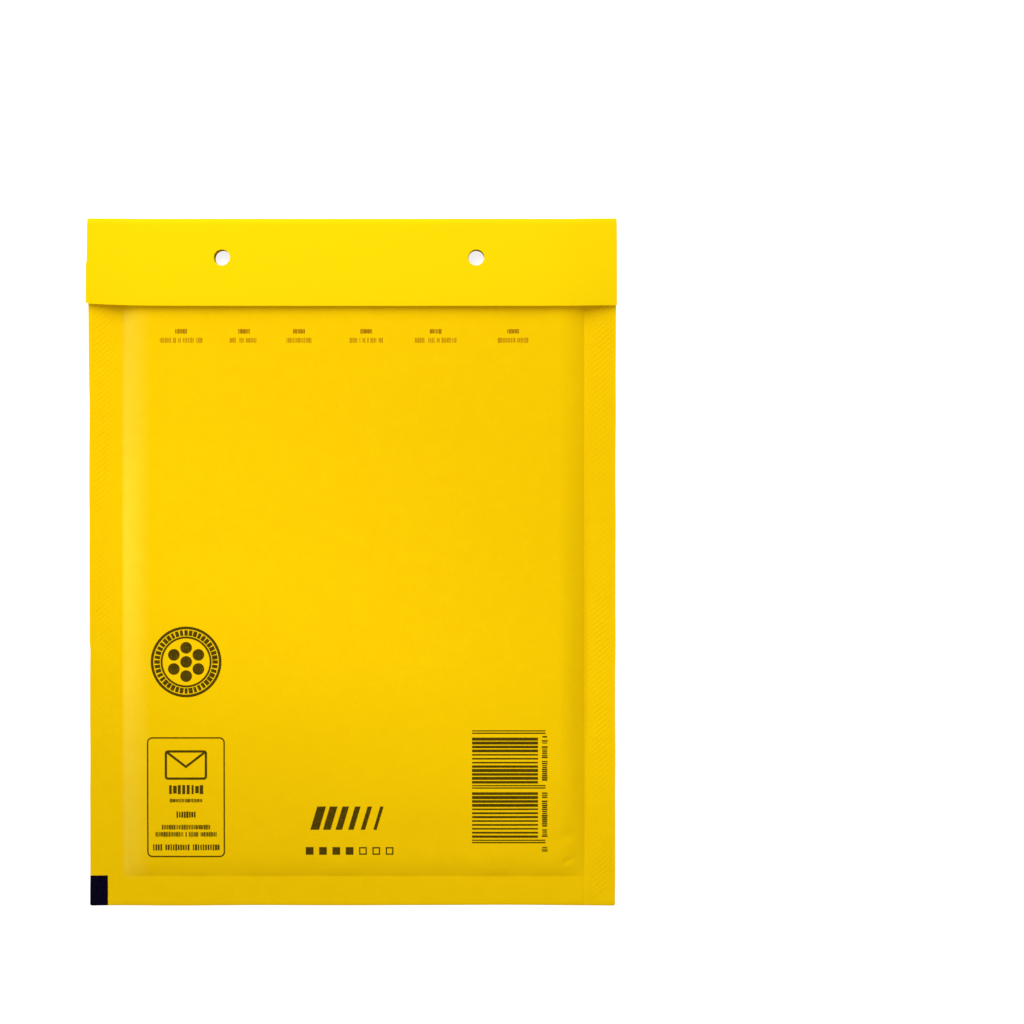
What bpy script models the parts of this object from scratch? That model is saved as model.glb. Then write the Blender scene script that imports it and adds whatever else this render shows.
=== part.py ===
"""Padded mailing envelope, lying on its back with its flap folded over the mouth.

One kraft paper sheet makes the back, the bottom fold, the front and the flap. Its side seams are bonded
through melted film. A U of bubble film lines the pocket, smooth side in. A band of adhesive under the flap
is covered by a peel-off strip. Two holes are punched through everything near the flap fold.

Metres. +X is to the right on the printed front, +Y runs up to the flap fold, +Z is out of the front. The
origin is under the middle of the envelope, on the surface that it lies on.
"""

import math

import bmesh
import bpy

# Paper body
BODY_WIDTH = 0.205
BODY_HEIGHT = 0.268
PAPER = 0.0002
LEFT_SEAM_WIDTH = 0.0125
RIGHT_SEAM_WIDTH = 0.0120
BOTTOM_BAND = 0.0111
SEAM_BOND = 0.0003
SEAM_BOND_INSET = 0.0008
SEAM_LIFT = 0.0020
SHOULDER = 0.0095

# Flap
FLAP_DEPTH = 0.0345
FLAP_OVERHANG_LEFT = 0.0012
FLAP_OVERHANG_RIGHT = 0.0003
FLAP_STEP = 0.0006
FLAP_STEP_DROP = 0.0173
FLAP_DROOP = 0.0008
FLAP_PRESS = 0.0004
PRESS_START = 0.0012
MOUTH_INSET = 0.0006

# Punched holes
HOLE_DIAMETER = 0.0063
HOLE_SPACING = 0.0990
HOLE_DROP = 0.0156
HOLE_SHIFT = -0.0011

# Bubble film
FILM = 0.0002
BUBBLE_DIAMETER = 0.0105
BUBBLE_TOP_SHARE = 0.68
BUBBLE_HEIGHT = 0.0020
BUBBLE_PITCH = 0.0178
LOWEST_BUBBLE = 0.0010
POCKET_GAP = 0.0005

# Adhesive and its cover strip
ADHESIVE_WIDTH = 0.0105
ADHESIVE_THICKNESS = 0.0002
ADHESIVE_END_INSET = 0.0060
LINER_WIDTH = 0.0132
LINER_THICKNESS = 0.00012
LINER_END_INSET = 0.0015
STRIP_TO_FLAP_EDGE = 0.0014

# Gap between pieces that touch
CLEARANCE = 0.0003

# How finely curves are cut
SHOULDER_STEPS = 5
BAND_STEPS = 2
PANEL_STEPS = 6
PRESSED_STEPS = 2
TIGHT_FOLD_STEPS = 6
FLAP_FOLD_STEPS = 10
HOLE_SIDES = 24
BUBBLE_SIDES = 6
RIM_TESTS = 12

# Plan of the envelope
FLAP_WIDTH = FLAP_OVERHANG_LEFT + BODY_WIDTH + FLAP_OVERHANG_RIGHT
BODY_LEFT = FLAP_OVERHANG_LEFT - FLAP_WIDTH / 2
BODY_RIGHT = BODY_LEFT + BODY_WIDTH
SEAM_LEFT = BODY_LEFT + LEFT_SEAM_WIDTH
SEAM_RIGHT = BODY_RIGHT - RIGHT_SEAM_WIDTH
BOTTOM = -BODY_HEIGHT / 2
TOP = BODY_HEIGHT / 2
BAND_TOP = BOTTOM + BOTTOM_BAND

# Heights of the middle of each layer
BACK_FLAT = PAPER / 2
BACK_FILM = PAPER + CLEARANCE + BUBBLE_HEIGHT + FILM / 2
FRONT_FILM = BACK_FILM + FILM + POCKET_GAP
FRONT_FLAT = FRONT_FILM + FILM / 2 + BUBBLE_HEIGHT + CLEARANCE + PAPER / 2
BACK_SEAM = SEAM_LIFT + PAPER / 2
FRONT_SEAM = BACK_SEAM + PAPER + SEAM_BOND
LINER_LEVEL = FRONT_FLAT + PAPER / 2 + CLEARANCE + LINER_THICKNESS / 2
ADHESIVE_LEVEL = LINER_LEVEL + LINER_THICKNESS / 2 + CLEARANCE + ADHESIVE_THICKNESS / 2
FLAP_LEVEL = ADHESIVE_LEVEL + ADHESIVE_THICKNESS / 2 + CLEARANCE + PAPER / 2

# Folds
BOTTOM_FOLD_RADIUS = (FRONT_SEAM - BACK_SEAM) / 2
BOTTOM_FOLD_CENTRE = BOTTOM + BOTTOM_FOLD_RADIUS + PAPER / 2
FLAP_FOLD_RADIUS = (FLAP_LEVEL - BACK_FLAT) / 2
FLAP_FOLD_CENTRE = TOP - FLAP_FOLD_RADIUS - PAPER / 2
MOUTH = FLAP_FOLD_CENTRE - MOUTH_INSET
FLAP_EDGE = TOP - FLAP_DEPTH
FLAP_STEP_LEVEL = TOP - FLAP_STEP_DROP
FLAT_END = FLAP_EDGE - PRESS_START

# Where the lining stops short of the seams, so that it clears the paper
LINING_FOLD_RADIUS = (FRONT_FILM - BACK_FILM) / 2
LINING_MOUTH = MOUTH - CLEARANCE

# Places of the punched holes
HOLES_MIDDLE = (BODY_LEFT + BODY_RIGHT) / 2 + HOLE_SHIFT
HOLE_CENTRES = [(HOLES_MIDDLE + side * HOLE_SPACING / 2, TOP - HOLE_DROP) for side in (-1, 1)]


def swell(distance):
    """Share of the full height at this distance inside a seam: steep there and level past the shoulder."""
    share = min(max(distance / SHOULDER, 0.0), 1.0)
    return 1 - (1 - share) ** 2


def fullness(x, y):
    """How far the padding lifts the paper there, from 0 on the seams to 1 on the flat."""
    return swell(x - SEAM_LEFT) * swell(SEAM_RIGHT - x) * swell(y - BAND_TOP)


def front_height(x, y):
    """Level up to just short of the flap, which presses the front down a little from there to the mouth."""
    pressed = FLAP_PRESS * max(y - FLAT_END, 0) / (MOUTH - FLAT_END)
    return FRONT_SEAM + (FRONT_FLAT - pressed - FRONT_SEAM) * fullness(x, y)


def back_height(x, y):
    return BACK_SEAM - (BACK_SEAM - BACK_FLAT) * fullness(x, y)


def flap_height(x):
    """The flap lies level on the padding and droops a little over the side seams."""
    droop = 1 - swell(x - SEAM_LEFT) * swell(SEAM_RIGHT - x)
    return FLAP_LEVEL - FLAP_DROOP * droop


def flap_side(x, y):
    """Where a point of the body lies on the flap, which is wider and has a small step in its left edge."""
    share = (x - BODY_LEFT) / BODY_WIDTH
    left = FLAP_OVERHANG_LEFT - (FLAP_STEP if y > FLAP_STEP_LEVEL else 0)
    return x + share * FLAP_OVERHANG_RIGHT - (1 - share) * left


def stations(start, end, steps):
    """Evenly spaced values from start up to, but without, end."""
    return [start + (end - start) * i / steps for i in range(steps)]


def body_columns():
    """Places across the width, closer together on the shoulders."""
    inner_left = SEAM_LEFT + SHOULDER
    inner_right = SEAM_RIGHT - SHOULDER
    return (
        stations(BODY_LEFT, SEAM_LEFT, BAND_STEPS)
        + stations(SEAM_LEFT, inner_left, SHOULDER_STEPS)
        + stations(inner_left, inner_right, PANEL_STEPS)
        + stations(inner_right, SEAM_RIGHT, SHOULDER_STEPS)
        + stations(SEAM_RIGHT, BODY_RIGHT, BAND_STEPS)
        + [BODY_RIGHT]
    )


def panel_levels(end):
    """Places up a panel from the bottom fold, closer together on the bottom shoulder."""
    return (
        stations(BOTTOM_FOLD_CENTRE, BAND_TOP, BAND_STEPS)
        + stations(BAND_TOP, BAND_TOP + SHOULDER, SHOULDER_STEPS)
        + stations(BAND_TOP + SHOULDER, end, PANEL_STEPS)
        + [end]
    )


def front_levels():
    """Places up the front, with more of them where the flap presses it down."""
    return panel_levels(FLAT_END) + stations(FLAT_END, MOUTH, PRESSED_STEPS)[1:] + [MOUTH]


def bow(steps):
    """Angles round a half turn, without its two ends, from one side of a fold to the other."""
    return [-math.pi / 2 + math.pi * i / steps for i in range(1, steps)]


def paper_rows():
    """The paper from the front's mouth edge, round the bottom, up the back and over to the flap's edge."""
    rows = [("front", y) for y in reversed(front_levels())]
    rows += [("bottom fold", -angle) for angle in bow(TIGHT_FOLD_STEPS)]
    rows += [("back", y) for y in panel_levels(FLAP_FOLD_CENTRE)]
    rows += [("flap fold", angle) for angle in bow(FLAP_FOLD_STEPS)]
    rows += [("flap", y) for y in stations(FLAP_FOLD_CENTRE, FLAP_STEP_LEVEL, 2)]
    rows += [("flap", y) for y in stations(FLAP_STEP_LEVEL + FLAP_STEP, FLAP_STEP_LEVEL, 1)]
    rows += [("flap", y) for y in stations(FLAP_STEP_LEVEL, FLAP_EDGE, 3)]
    return rows + [("flap", FLAP_EDGE)]


def paper_point(x, row):
    """Middle of the paper's thickness at one column and row."""
    part, value = row
    if part == "front":
        return x, value, front_height(x, value)
    if part == "back":
        return x, value, back_height(x, value)
    if part == "bottom fold":
        middle = (FRONT_SEAM + BACK_SEAM) / 2
        y = BOTTOM_FOLD_CENTRE - BOTTOM_FOLD_RADIUS * math.cos(value)
        return x, y, middle + BOTTOM_FOLD_RADIUS * math.sin(value)
    if part == "flap fold":
        low = back_height(x, FLAP_FOLD_CENTRE)
        high = flap_height(x)
        y = FLAP_FOLD_CENTRE + FLAP_FOLD_RADIUS * math.cos(value)
        turn = (1 + math.sin(value)) / 2
        return x + (flap_side(x, TOP) - x) * turn, y, low + (high - low) * turn
    return flap_side(x, value), value, flap_height(x)


def lining_edge(film_level, seam_level, flat_level):
    """How far inside the seam lines the paper has swelled clear of the film, also in the corners."""
    needed = FILM / 2 + CLEARANCE + PAPER / 2
    share = (abs(film_level - seam_level) + needed) / abs(flat_level - seam_level)
    corner_share = math.sqrt(min(share, 1.0))
    return SHOULDER * (1 - math.sqrt(1 - corner_share))


LINING_INSET = lining_edge(FRONT_FILM, FRONT_SEAM, FRONT_FLAT)
LINING_LEFT = SEAM_LEFT + LINING_INSET
LINING_RIGHT = SEAM_RIGHT - LINING_INSET
LINING_FOLD_CENTRE = BAND_TOP + LINING_INSET + LINING_FOLD_RADIUS + FILM / 2


def lining_rows():
    """The film from the front's mouth edge, round its fold and up the back."""
    levels = stations(LINING_FOLD_CENTRE, LINING_MOUTH, PANEL_STEPS) + [LINING_MOUTH]
    rows = [("front", y) for y in reversed(levels)]
    rows += [("fold", -angle) for angle in bow(TIGHT_FOLD_STEPS)]
    return rows + [("back", y) for y in levels]


def lining_point(x, row):
    part, value = row
    if part == "fold":
        y = LINING_FOLD_CENTRE - LINING_FOLD_RADIUS * math.cos(value)
        return x, y, (FRONT_FILM + BACK_FILM) / 2 + LINING_FOLD_RADIUS * math.sin(value)
    return x, value, FRONT_FILM if part == "front" else BACK_FILM


def strip_point(level):
    """A strip under the flap, at this height where the flap is level, that droops with the flap."""

    def point(x, y):
        return x, y, flap_height(x) - (FLAP_LEVEL - level)

    return point


def colour_of(name, colour, roughness):
    material = bpy.data.materials.new(name)
    material.use_nodes = True
    shader = material.node_tree.nodes["Principled BSDF"]
    shader.inputs["Base Color"].default_value = (*colour, 1)
    shader.inputs["Roughness"].default_value = roughness
    shader.inputs["Metallic"].default_value = 0
    return material


def add_object(name, mesh, collection):
    made = bpy.data.objects.new(name, mesh)
    collection.objects.link(made)
    return made


def sheet(name, columns, rows, point, thickness, material, collection):
    """A flat grid bent through point(column, row), then given its thickness."""
    bm = bmesh.new()
    bmesh.ops.create_grid(bm, x_segments=len(columns) - 1, y_segments=len(rows) - 1, size=0.5)
    for vertex in bm.verts:
        column = round((vertex.co.x + 0.5) * (len(columns) - 1))
        row = round((vertex.co.y + 0.5) * (len(rows) - 1))
        vertex.co = point(columns[column], rows[row])
    mesh = bpy.data.meshes.new(name)
    bm.to_mesh(mesh)
    bm.free()
    made = add_object(name, mesh, collection)
    made.data.materials.append(material)
    wall = made.modifiers.new("thickness", "SOLIDIFY")
    wall.thickness = thickness
    wall.offset = 0
    wall.use_even_offset = True
    return made


def tool(name, bm, collection):
    """A shape that joins or cuts another and isn't a piece itself."""
    mesh = bpy.data.meshes.new(name)
    bm.to_mesh(mesh)
    bm.free()
    made = add_object(name, mesh, collection)
    made.hide_render = True
    made.display_type = "WIRE"
    return made


def boolean(piece, other, operation):
    step = piece.modifiers.new(other.name, "BOOLEAN")
    step.object = other
    step.operation = operation
    step.solver = "EXACT"


def box_into(bm, low, high):
    made = bmesh.ops.create_cube(bm, size=1)
    for vertex in made["verts"]:
        vertex.co = [low[i] if vertex.co[i] < 0 else high[i] for i in range(3)]


def seam_bonds(collection):
    """The melted film between the two panels in each side seam."""
    bm = bmesh.new()
    for outer, inner in ((BODY_LEFT, SEAM_LEFT), (SEAM_RIGHT, BODY_RIGHT)):
        left = outer + SEAM_BOND_INSET
        right = inner - SEAM_BOND_INSET
        low = (left, BOTTOM_FOLD_CENTRE + SEAM_BOND_INSET, BACK_SEAM)
        box_into(bm, low, (right, MOUTH - SEAM_BOND_INSET, FRONT_SEAM))
    return tool("seam_bonds", bm, collection)


def punches(collection):
    """The two round punches, long enough to pass through every layer."""
    bm = bmesh.new()
    reach = 2 * FLAP_LEVEL
    for x, y in HOLE_CENTRES:
        made = bmesh.ops.create_cone(
            bm,
            cap_ends=True,
            segments=HOLE_SIDES,
            radius1=HOLE_DIAMETER / 2,
            radius2=HOLE_DIAMETER / 2,
            depth=2 * reach,
        )
        bmesh.ops.translate(bm, verts=made["verts"], vec=(x, y, FLAP_LEVEL / 2))
    return tool("punches", bm, collection)


def bubble_centres():
    """Places of the bubbles in staggered rows, clear of the film's edges and of the punched holes."""
    radius = BUBBLE_DIAMETER / 2
    row_pitch = BUBBLE_PITCH * math.sqrt(3) / 2
    margin = radius + CLEARANCE
    row = 0
    y = LINING_MOUTH - margin
    while y > LINING_FOLD_CENTRE + margin:
        x = LINING_LEFT + margin + (row % 2) * BUBBLE_PITCH / 2
        while x < LINING_RIGHT - margin:
            if all(math.hypot(x - hx, y - hy) > radius + HOLE_DIAMETER for hx, hy in HOLE_CENTRES):
                yield x, y
            x += BUBBLE_PITCH
        y -= row_pitch
        row += 1


def headroom(x, y, paper_height, film_level):
    """The height that a bubble centred there can have under the paper, lowest over the bubble's rim."""
    radius = BUBBLE_TOP_SHARE * BUBBLE_DIAMETER / 2
    turns = [2 * math.pi * i / RIM_TESTS for i in range(RIM_TESTS)]
    rim = [(x + radius * math.cos(turn), y + radius * math.sin(turn)) for turn in turns]
    room = min(abs(paper_height(*place) - film_level) for place in rim)
    return room - (PAPER + FILM) / 2 - CLEARANCE


def bubbles(collection):
    """Domed air cells on the outer side of both layers of film, pressed lower near the seams."""
    bm = bmesh.new()
    layers = ((1, FRONT_FILM, front_height), (-1, BACK_FILM, back_height))
    for side, film_level, paper_height in layers:
        for x, y in bubble_centres():
            height = min(BUBBLE_HEIGHT, headroom(x, y, paper_height, film_level))
            if height < LOWEST_BUBBLE:
                continue
            depth = height + FILM / 2
            radii = (BUBBLE_DIAMETER / 2, BUBBLE_TOP_SHARE * BUBBLE_DIAMETER / 2)
            made = bmesh.ops.create_cone(
                bm,
                cap_ends=True,
                segments=BUBBLE_SIDES,
                radius1=radii[0] if side > 0 else radii[1],
                radius2=radii[1] if side > 0 else radii[0],
                depth=depth,
            )
            bmesh.ops.translate(bm, verts=made["verts"], vec=(x, y, film_level + side * depth / 2))
    return tool("bubbles", bm, collection)


def make_paper_shell(pieces, tools, punch):
    kraft = colour_of("yellow_kraft_paper", (0.97, 0.62, 0.003), 0.62)
    shell = sheet("paper_shell", body_columns(), paper_rows(), paper_point, PAPER, kraft, pieces)
    boolean(shell, seam_bonds(tools), "UNION")
    boolean(shell, punch, "DIFFERENCE")


def make_bubble_lining(pieces, tools, punch):
    film = colour_of("bubble_film", (0.85, 0.87, 0.88), 0.25)
    columns = stations(LINING_LEFT, LINING_RIGHT, PANEL_STEPS) + [LINING_RIGHT]
    lining = sheet("bubble_lining", columns, lining_rows(), lining_point, FILM, film, pieces)
    boolean(lining, bubbles(tools), "UNION")
    boolean(lining, punch, "DIFFERENCE")


def flap_strip_columns(end_inset):
    """Places along a strip that stops this far short of both ends of the flap."""
    left = end_inset - FLAP_WIDTH / 2
    right = FLAP_WIDTH / 2 - end_inset
    return [left] + [x for x in body_columns() if left < x < right] + [right]


def make_adhesive_strip(pieces):
    hot_melt = colour_of("clear_hot_melt", (0.75, 0.66, 0.42), 0.3)
    low = FLAP_EDGE + STRIP_TO_FLAP_EDGE + (LINER_WIDTH - ADHESIVE_WIDTH) / 2
    columns = flap_strip_columns(ADHESIVE_END_INSET)
    rows = [low, low + ADHESIVE_WIDTH]
    sheet("adhesive_strip", columns, rows, strip_point(ADHESIVE_LEVEL), ADHESIVE_THICKNESS, hot_melt, pieces)


def make_release_liner(pieces):
    silicone_paper = colour_of("silicone_paper", (0.86, 0.87, 0.86), 0.35)
    low = FLAP_EDGE + STRIP_TO_FLAP_EDGE
    columns = flap_strip_columns(LINER_END_INSET)
    rows = [low, low + LINER_WIDTH]
    sheet("release_liner", columns, rows, strip_point(LINER_LEVEL), LINER_THICKNESS, silicone_paper, pieces)


def main():
    for old in list(bpy.data.objects):
        bpy.data.objects.remove(old)
    pieces = bpy.data.collections.new("padded_envelope")
    tools = bpy.data.collections.new("joining_and_cutting_tools")
    for collection in (pieces, tools):
        bpy.context.scene.collection.children.link(collection)

    punch = punches(tools)
    make_paper_shell(pieces, tools, punch)
    make_bubble_lining(pieces, tools, punch)

    make_adhesive_strip(pieces)
    make_release_liner(pieces)


main()
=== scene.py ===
"""A padded mailing envelope with its flap folded over, lying on a white floor under soft light."""

import math

import bmesh
import bpy
import numpy as np
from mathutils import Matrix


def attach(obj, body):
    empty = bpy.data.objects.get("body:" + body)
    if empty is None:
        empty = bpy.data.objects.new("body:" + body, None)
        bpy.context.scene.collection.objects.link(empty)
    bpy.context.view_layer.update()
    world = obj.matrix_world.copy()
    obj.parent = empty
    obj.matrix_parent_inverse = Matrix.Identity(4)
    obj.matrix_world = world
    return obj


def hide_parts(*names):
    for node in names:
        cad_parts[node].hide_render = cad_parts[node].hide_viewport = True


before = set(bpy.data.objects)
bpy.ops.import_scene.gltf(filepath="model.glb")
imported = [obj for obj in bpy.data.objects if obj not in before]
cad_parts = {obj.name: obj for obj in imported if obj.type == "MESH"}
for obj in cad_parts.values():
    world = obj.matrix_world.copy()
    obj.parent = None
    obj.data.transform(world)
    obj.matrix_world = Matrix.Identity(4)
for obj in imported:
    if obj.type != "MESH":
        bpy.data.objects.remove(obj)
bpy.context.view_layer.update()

# Paper shell. One length of yellow kraft paper, dyed right through, makes front, bottom fold, back and flap.
# It is folded round its padding and heat sealed down both sides, and the flap is folded down over the mouth
# and springs up a little. Two holes are punched through every layer.
PAPER = 0.0002
LEFT = -0.10205
RIGHT = 0.10295
SEAM_LEFT = -0.08955
SEAM_RIGHT = 0.09095
BOTTOM = -0.134
TOP = 0.134
BAND_TOP = -0.1229
LEFT_SHOULDER = 0.0098
RIGHT_SHOULDER = 0.0100
BOTTOM_SHOULDER = 0.0120
BACK_FLAT = 0.00012
BACK_SEAM = 0.0021
FRONT_SEAM = 0.0026
FRONT_FLAT = 0.0058
FRONT_WAVES = 0.00009
BOTTOM_THINNING = 0.0014
THINNING_REACH = 0.045
FLAP_PRESS = 0.0004
FLAP_BULGE = 0.0006
BULGE_REACH = 0.016
MOUTH = 0.12974
FOLD_RADIUS = 0.00025
FOLD_CENTRE = BOTTOM + FOLD_RADIUS + PAPER / 2
FOLD_LEAN = 0.00026
FLAP_FOLD_LEVEL = 0.0060
FLAP_FOLD_RADIUS = (FLAP_FOLD_LEVEL - BACK_FLAT) / 2
FLAP_FOLD_CENTRE = TOP - FLAP_FOLD_RADIUS - PAPER / 2
FLAP_EDGE = 0.09945
FLAP_LEFT = -0.1034
FLAP_RIGHT = 0.1037
FLAP_STEP = 0.00032
FLAP_STEP_LEVEL = 0.1167
FLAP_STEP_HEIGHT = 0.0006
FLAP_SPRING = 0.0030
FLAP_DROOP = 0.0033
FLAP_DROOP_REACH = 0.027
FLAP_OVERHANG = 0.004
FLAP_WAVES = 0.00010
FLAP_END_RISE = 0.0005
BAND_CURL = 0.0009
BAND_LIFT = 0.0005
BAND_LIFT_REACH = 0.015
BAND_WAVES = 0.00009
GROOVES = ((SEAM_LEFT, 0.00010), (SEAM_RIGHT, 0.00011))
GROOVE_REACH = 0.00045
BOTTOM_PUCKERS = 0.00016
SIDE_PUCKERS = 0.00005
PUCKER_START = 0.002
TRIM_WAVES = 0.00010
TRIM_REACH = 0.005
HOLE_CENTRES = [(-0.05015, 0.1184), (0.04885, 0.1184)]
HOLE_DIAMETER = 0.0063
HOLE_SIDES = 40
# Flap, front and back have slid on each other since they were punched: lowest level, shift across, shift up
HOLE_SLIDES = [(0.0066, 0, 0), (0.0029, 0.00014, -0.00012), (-0.0134, -0.00014, 0.00012)]
SHARP = 0.6


def swell(distance, reach, steepness=2.0):
    """Share of the full height this far inside a seam: steep at the seam and level past the reach."""
    share = np.clip(distance / reach, 0, 1)
    return 1 - (1 - share) ** steepness


def ease(value, start, end):
    """0 before start, 1 after end, and smooth between them."""
    share = np.clip((value - start) / (end - start), 0, 1)
    return share * share * (3 - 2 * share)


def fading(distance, reach):
    """1 up to the start, then less and less with the distance past it."""
    return np.exp(-np.maximum(distance, 0) / reach)


def ripple(x, y, shortest, longest, seed, waves=12):
    """Smooth unevenness of about unit height: waves of many directions, between two lengths."""
    dice = np.random.default_rng(seed)
    total = 0 * x
    for _ in range(waves):
        length = dice.uniform(shortest, longest)
        turn = dice.uniform(0, math.pi)
        start = dice.uniform(0, 2 * math.pi)
        along = x * math.cos(turn) + y * math.sin(turn)
        total = total + np.sin(along * 2 * math.pi / length + start)
    return total / math.sqrt(waves / 2)


def fullness(x, y):
    """How far the padding lifts the paper, from 0 on the seams to 1 on the flat."""
    sides = swell(x - SEAM_LEFT, LEFT_SHOULDER) * swell(SEAM_RIGHT - x, RIGHT_SHOULDER)
    return sides * swell(y - BAND_TOP, BOTTOM_SHOULDER, 3.2)


def band_wave(x, y):
    """The sealed bands aren't flat: both layers wave together, and rise to the cut edge and the flap."""
    outside = np.maximum(SEAM_LEFT - x, x - SEAM_RIGHT) / (SEAM_LEFT - LEFT)
    curl = BAND_CURL * np.clip(outside, 0, 1.1) ** 1.3
    lift = BAND_LIFT * fading(FLAP_EDGE - y, BAND_LIFT_REACH)
    return curl + lift + BAND_WAVES * ripple(x, y, 0.035, 0.11, 3)


def seam_groove(x):
    """The sealing bar's edge leaves a fine crease along both side seams."""
    groove = 0
    for seam, depth in GROOVES:
        groove = groove + depth * np.exp(-(((x - seam) / GROOVE_REACH) ** 2))
    return -groove


def puckers(x, y):
    """Short folds where the padded front is drawn in to the seams, strongest along the bottom."""
    total = 0
    low = y - BAND_TOP
    near = np.minimum(x - SEAM_LEFT, SEAM_RIGHT - x)
    folds = (
        (BOTTOM_PUCKERS * ripple(x, 0 * y, 0.012, 0.035, 5), low, 0.007),
        (SIDE_PUCKERS * ripple(0 * x, y, 0.015, 0.05, 8), near, 0.006),
    )
    for height, inside, reach in folds:
        total = total + height * fading(inside, reach) * (1 - fading(inside, PUCKER_START))
    return total


# Dents, most of them near the lower right corner: middle x and y, length, width, turn in degrees, depth
DENTS = [
    (0.0845, -0.1169, 0.0026, 0.0011, 27, 0.00036),
    (0.0841, -0.1073, 0.0042, 0.0023, 20, 0.00026),
    (0.0862, -0.1020, 0.0024, 0.0016, 70, 0.00010),
    (0.0345, -0.1085, 0.0240, 0.0085, 3, 0.00026),
    (-0.0790, -0.1165, 0.0030, 0.0012, 15, 0.00008),
]


def dents(x, y):
    total = 0
    for middle_x, middle_y, length, width, turn, depth in DENTS:
        turn = math.radians(turn)
        along = (x - middle_x) * math.cos(turn) + (y - middle_y) * math.sin(turn)
        across = (y - middle_y) * math.cos(turn) - (x - middle_x) * math.sin(turn)
        total = total - depth * np.exp(-((along / length) ** 2) - (across / width) ** 2)
    return total


def front_level(x, y):
    """Middle of the front's paper."""
    full = fullness(x, y)
    thinner = BOTTOM_THINNING * fading(y - BAND_TOP, THINNING_REACH)
    under_flap = np.clip((y - FLAP_EDGE) / (MOUTH - FLAP_EDGE), 0, 1)
    bulge = FLAP_BULGE * fading(FLAP_EDGE - y, BULGE_REACH) * (1 - under_flap)
    swelled = (FRONT_FLAT - thinner + bulge - FLAP_PRESS * under_flap - FRONT_SEAM) * full
    uneven = FRONT_WAVES * ripple(x, y, 0.03, 0.10, 11, 16) * full
    pressed = seam_groove(x) + puckers(x, y) + dents(x, y)
    return FRONT_SEAM + swelled + uneven + pressed + band_wave(x, y) * (1 - full)


def back_level(x, y):
    """Middle of the back's paper, which rests on the floor inside its seams."""
    full = fullness(x, y)
    return BACK_SEAM - (BACK_SEAM - BACK_FLAT) * full + band_wave(x, y) * (1 - full)


def bottom_trim(x):
    """The bottom fold isn't quite straight, and its corners are a little rounded."""
    trim = TRIM_WAVES * ripple(x, 0 * x, 0.025, 0.09, 21) - TRIM_WAVES
    for reach, radius in ((x - LEFT, 0.0005), (RIGHT - x, 0.0007)):
        inside = np.clip(1 - reach / radius, 0, 1)
        trim = trim + radius * (1 - np.sqrt(1 - inside**2))
    return trim


def side_trim(x, y):
    """The cut sides run a little out of true; the padded part between the seams isn't moved by it."""
    left = -0.00027 + 0.00031 * ease(-y, 0.0320, 0.0336) - 0.00040 * ease(y, 0.060, 0.100)
    right = 0.00039 - 0.00029 * np.clip((0.10 - y) / 0.234, 0, 1)
    left_share = np.clip((SEAM_LEFT - x) / (SEAM_LEFT - LEFT), 0, 1)
    right_share = np.clip((x - SEAM_RIGHT) / (RIGHT - SEAM_RIGHT), 0, 1)
    uneven = 0.00004 * ripple(0 * x, y, 0.02, 0.08, 31)
    return x + (left + uneven) * left_share + (right + uneven) * right_share


def near_end(x):
    """Most at the flap's two ends, falling to 0 further in."""
    return 1 - ease(np.minimum(x - LEFT, RIGHT - x), -FLAP_OVERHANG, FLAP_DROOP_REACH)


def flap_level(x, y):
    """Middle of the flap's paper: level at the fold, sprung up at its free edge, drooping at its ends."""
    out = np.clip((FLAP_FOLD_CENTRE - y) / (FLAP_FOLD_CENTRE - FLAP_EDGE), 0, 1)
    sprung = FLAP_SPRING * swell(out, 1, 1.3)
    droop = FLAP_DROOP * near_end(x) * (0.4 + 0.6 * out)
    uneven = FLAP_WAVES * ripple(x, y, 0.04, 0.12, 41) * out
    return FLAP_FOLD_LEVEL + sprung - droop + uneven


def flap_place(x, y):
    """The flap is wider than the body and has a small step in its left edge."""
    share = (x - LEFT) / (RIGHT - LEFT)
    left = FLAP_LEFT + FLAP_STEP * ease(y, FLAP_STEP_LEVEL, FLAP_STEP_LEVEL + FLAP_STEP_HEIGHT)
    return left + (FLAP_RIGHT - left) * share


def flap_edge(x):
    """The flap's cut edge is straight but for its ends, which curve up, the left one more."""
    inside = (x - LEFT) / (RIGHT - LEFT) * (FLAP_RIGHT - FLAP_LEFT)
    left_corner = 0.0007 * fading(inside, 0.012) + 0.0002 * fading(inside, 0.0012)
    return FLAP_EDGE + left_corner + FLAP_END_RISE * near_end(x)


def spread(start, end, step):
    """Even places from start up to, but without, end, no further apart than the step."""
    return list(np.linspace(start, end, math.ceil((end - start) / step) + 1)[:-1])


def graded(*stops):
    """Places from the first stop to the last. Between each two stops stands the step that is used there."""
    found = []
    for start, step, end in zip(stops[:-2:2], stops[1::2], stops[2::2]):
        found += spread(start, end, step)
    return np.array(found + [stops[-1]])


def line(x, y, level):
    """A row of points, all at one y where only one is given."""
    return np.stack([x, y + 0 * x, level + 0 * x], axis=1)


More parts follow.
